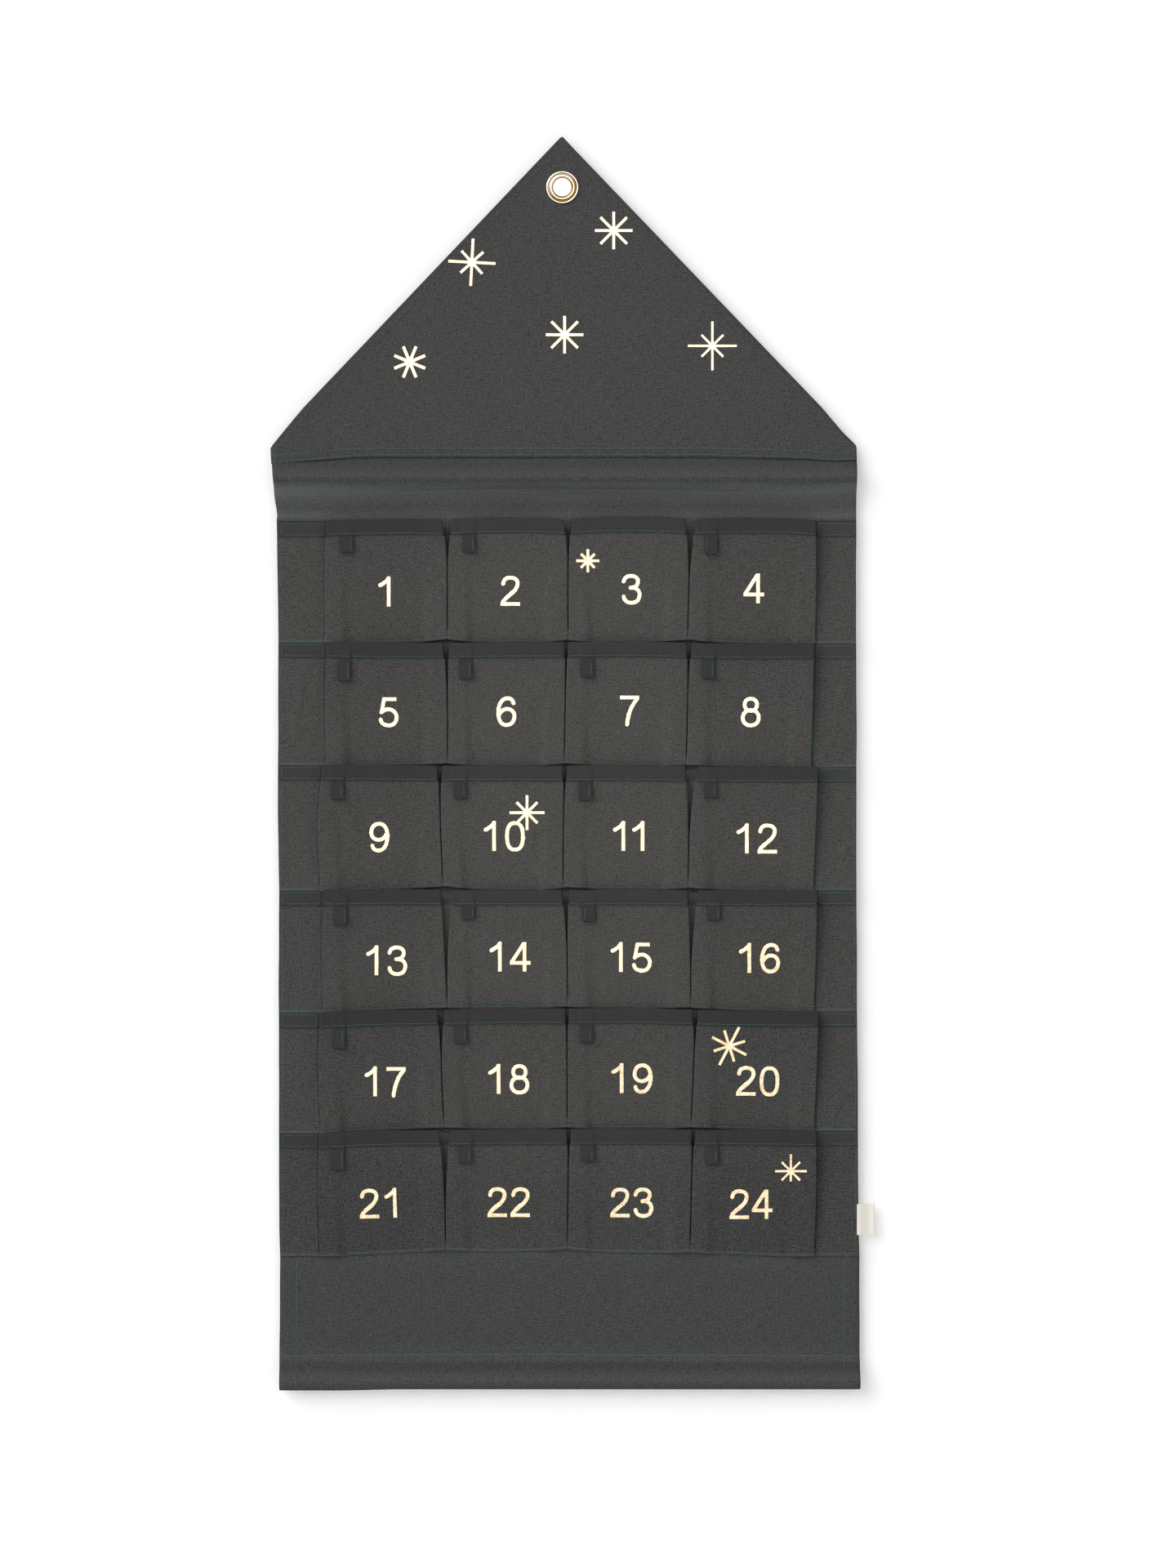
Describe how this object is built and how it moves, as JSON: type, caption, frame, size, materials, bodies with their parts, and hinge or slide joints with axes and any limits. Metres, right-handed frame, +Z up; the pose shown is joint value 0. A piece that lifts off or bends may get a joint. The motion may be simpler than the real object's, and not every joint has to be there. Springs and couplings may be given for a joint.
{
  "type": "hanging advent calendar",
  "caption": "Hanging cloth advent calendar: roof-shaped top with a brass eyelet, numbered pleated pockets in rows, tape loops under the hems and a dowel in a tunnel at each end.",
  "frame": {"origin": "where the eyelet's axis meets the wall plane", "axes": "+X to the right as seen from the front, +Y into the wall, +Z up"},
  "size_m": [0.4674, 0.0135, 0.9712],
  "materials": {
    "canvas": "matt canvas",
    "pocket_canvas": "matt canvas",
    "tape": "woven tape",
    "brass": "polished",
    "wood": "plain",
    "woven_label": "woven"
  },
  "bodies": {
    "calendar": {"back_panel": "canvas", "roof": "canvas", "eyelet_flange": "brass", "eyelet_washer": "brass", "pocket_strip_1": "pocket_canvas", "pocket_strip_2": "pocket_canvas", "pocket_strip_3": "pocket_canvas", "pocket_strip_4": "pocket_canvas", "pocket_strip_5": "pocket_canvas", "pocket_strip_6": "pocket_canvas"},
    "upper_dowel": {"upper_dowel": "wood"},
    "lower_dowel": {"lower_dowel": "wood"},
    "tape_loop_01": {"tape_loop_01": "tape"},
    "tape_loop_02": {"tape_loop_02": "tape"},
    "tape_loop_04": {"tape_loop_04": "tape"},
    "tape_loop_05": {"tape_loop_05": "tape"},
    "tape_loop_06": {"tape_loop_06": "tape"},
    "tape_loop_07": {"tape_loop_07": "tape"},
    "tape_loop_08": {"tape_loop_08": "tape"},
    "tape_loop_09": {"tape_loop_09": "tape"},
    "tape_loop_10": {"tape_loop_10": "tape"},
    "tape_loop_11": {"tape_loop_11": "tape"},
    "tape_loop_12": {"tape_loop_12": "tape"},
    "tape_loop_13": {"tape_loop_13": "tape"},
    "tape_loop_14": {"tape_loop_14": "tape"},
    "tape_loop_15": {"tape_loop_15": "tape"},
    "tape_loop_16": {"tape_loop_16": "tape"},
    "tape_loop_17": {"tape_loop_17": "tape"},
    "tape_loop_18": {"tape_loop_18": "tape"},
    "tape_loop_19": {"tape_loop_19": "tape"},
    "tape_loop_21": {"tape_loop_21": "tape"},
    "tape_loop_22": {"tape_loop_22": "tape"},
    "tape_loop_23": {"tape_loop_23": "tape"},
    "tape_loop_24": {"tape_loop_24": "tape"},
    "side_label": {"side_label": "woven_label"}
  },
  "joints": [
    {"name": "upper_dowel_slide", "type": "slide", "parent": "calendar", "child": "upper_dowel", "axis": [1, 0, 0], "range_m": [0, 0.42]},
    {"name": "lower_dowel_slide", "type": "slide", "parent": "calendar", "child": "lower_dowel", "axis": [1, 0, 0], "range_m": [0, 0.42]},
    {"name": "tape_loop_01_lift", "type": "hinge", "parent": "calendar", "child": "tape_loop_01", "pos_m": [-0.16684, -0.01209, -0.27025], "axis": [-1, 0, 0], "range_deg": [0, 120]},
    {"name": "tape_loop_02_lift", "type": "hinge", "parent": "calendar", "child": "tape_loop_02", "pos_m": [-0.0723, -0.01209, -0.27025], "axis": [-1, 0, 0], "range_deg": [0, 120]},
    {"name": "tape_loop_04_lift", "type": "hinge", "parent": "calendar", "child": "tape_loop_04", "pos_m": [0.11497, -0.01209, -0.27025], "axis": [-1, 0, 0], "range_deg": [0, 120]},
    {"name": "tape_loop_05_lift", "type": "hinge", "parent": "calendar", "child": "tape_loop_05", "pos_m": [-0.16904, -0.01209, -0.36629], "axis": [-1, 0, 0], "range_deg": [0, 120]},
    {"name": "tape_loop_06_lift", "type": "hinge", "parent": "calendar", "child": "tape_loop_06", "pos_m": [-0.07497, -0.01209, -0.36629], "axis": [-1, 0, 0], "range_deg": [0, 120]},
    {"name": "tape_loop_07_lift", "type": "hinge", "parent": "calendar", "child": "tape_loop_07", "pos_m": [0.01928, -0.01209, -0.36629], "axis": [-1, 0, 0], "range_deg": [0, 120]},
    {"name": "tape_loop_08_lift", "type": "hinge", "parent": "calendar", "child": "tape_loop_08", "pos_m": [0.11306, -0.01209, -0.36629], "axis": [-1, 0, 0], "range_deg": [0, 120]},
    {"name": "tape_loop_09_lift", "type": "hinge", "parent": "calendar", "child": "tape_loop_09", "pos_m": [-0.17409, -0.01209, -0.46166], "axis": [-1, 0, 0], "range_deg": [0, 120]},
    {"name": "tape_loop_10_lift", "type": "hinge", "parent": "calendar", "child": "tape_loop_10", "pos_m": [-0.07927, -0.01209, -0.46166], "axis": [-1, 0, 0], "range_deg": [0, 120]},
    {"name": "tape_loop_11_lift", "type": "hinge", "parent": "calendar", "child": "tape_loop_11", "pos_m": [0.01775, -0.01209, -0.46166], "axis": [-1, 0, 0], "range_deg": [0, 120]},
    {"name": "tape_loop_12_lift", "type": "hinge", "parent": "calendar", "child": "tape_loop_12", "pos_m": [0.11468, -0.01209, -0.46166], "axis": [-1, 0, 0], "range_deg": [0, 120]},
    {"name": "tape_loop_13_lift", "type": "hinge", "parent": "calendar", "child": "tape_loop_13", "pos_m": [-0.17171, -0.01209, -0.55609], "axis": [-1, 0, 0], "range_deg": [0, 120]},
    {"name": "tape_loop_14_lift", "type": "hinge", "parent": "calendar", "child": "tape_loop_14", "pos_m": [-0.07268, -0.01209, -0.55609], "axis": [-1, 0, 0], "range_deg": [0, 120]},
    {"name": "tape_loop_15_lift", "type": "hinge", "parent": "calendar", "child": "tape_loop_15", "pos_m": [0.02043, -0.01209, -0.55609], "axis": [-1, 0, 0], "range_deg": [0, 120]},
    {"name": "tape_loop_16_lift", "type": "hinge", "parent": "calendar", "child": "tape_loop_16", "pos_m": [0.11754, -0.01209, -0.55609], "axis": [-1, 0, 0], "range_deg": [0, 120]},
    {"name": "tape_loop_17_lift", "type": "hinge", "parent": "calendar", "child": "tape_loop_17", "pos_m": [-0.17324, -0.01209, -0.65051], "axis": [-1, 0, 0], "range_deg": [0, 120]},
    {"name": "tape_loop_18_lift", "type": "hinge", "parent": "calendar", "child": "tape_loop_18", "pos_m": [-0.07879, -0.01209, -0.65051], "axis": [-1, 0, 0], "range_deg": [0, 120]},
    {"name": "tape_loop_19_lift", "type": "hinge", "parent": "calendar", "child": "tape_loop_19", "pos_m": [0.01852, -0.01209, -0.65051], "axis": [-1, 0, 0], "range_deg": [0, 120]},
    {"name": "tape_loop_21_lift", "type": "hinge", "parent": "calendar", "child": "tape_loop_21", "pos_m": [-0.17371, -0.01209, -0.74494], "axis": [-1, 0, 0], "range_deg": [0, 120]},
    {"name": "tape_loop_22_lift", "type": "hinge", "parent": "calendar", "child": "tape_loop_22", "pos_m": [-0.07526, -0.01209, -0.74494], "axis": [-1, 0, 0], "range_deg": [0, 120]},
    {"name": "tape_loop_23_lift", "type": "hinge", "parent": "calendar", "child": "tape_loop_23", "pos_m": [0.01985, -0.01209, -0.74494], "axis": [-1, 0, 0], "range_deg": [0, 120]},
    {"name": "tape_loop_24_lift", "type": "hinge", "parent": "calendar", "child": "tape_loop_24", "pos_m": [0.11583, -0.01209, -0.74494], "axis": [-1, 0, 0], "range_deg": [0, 120]},
    {"name": "side_label_bend", "type": "hinge", "parent": "calendar", "child": "side_label", "pos_m": [0.2313, -0.0008, -0.80039], "axis": [0, 0, 1], "range_deg": [-80, 80], "stiffness_Nm_per_rad": 0.0002}
  ]
}
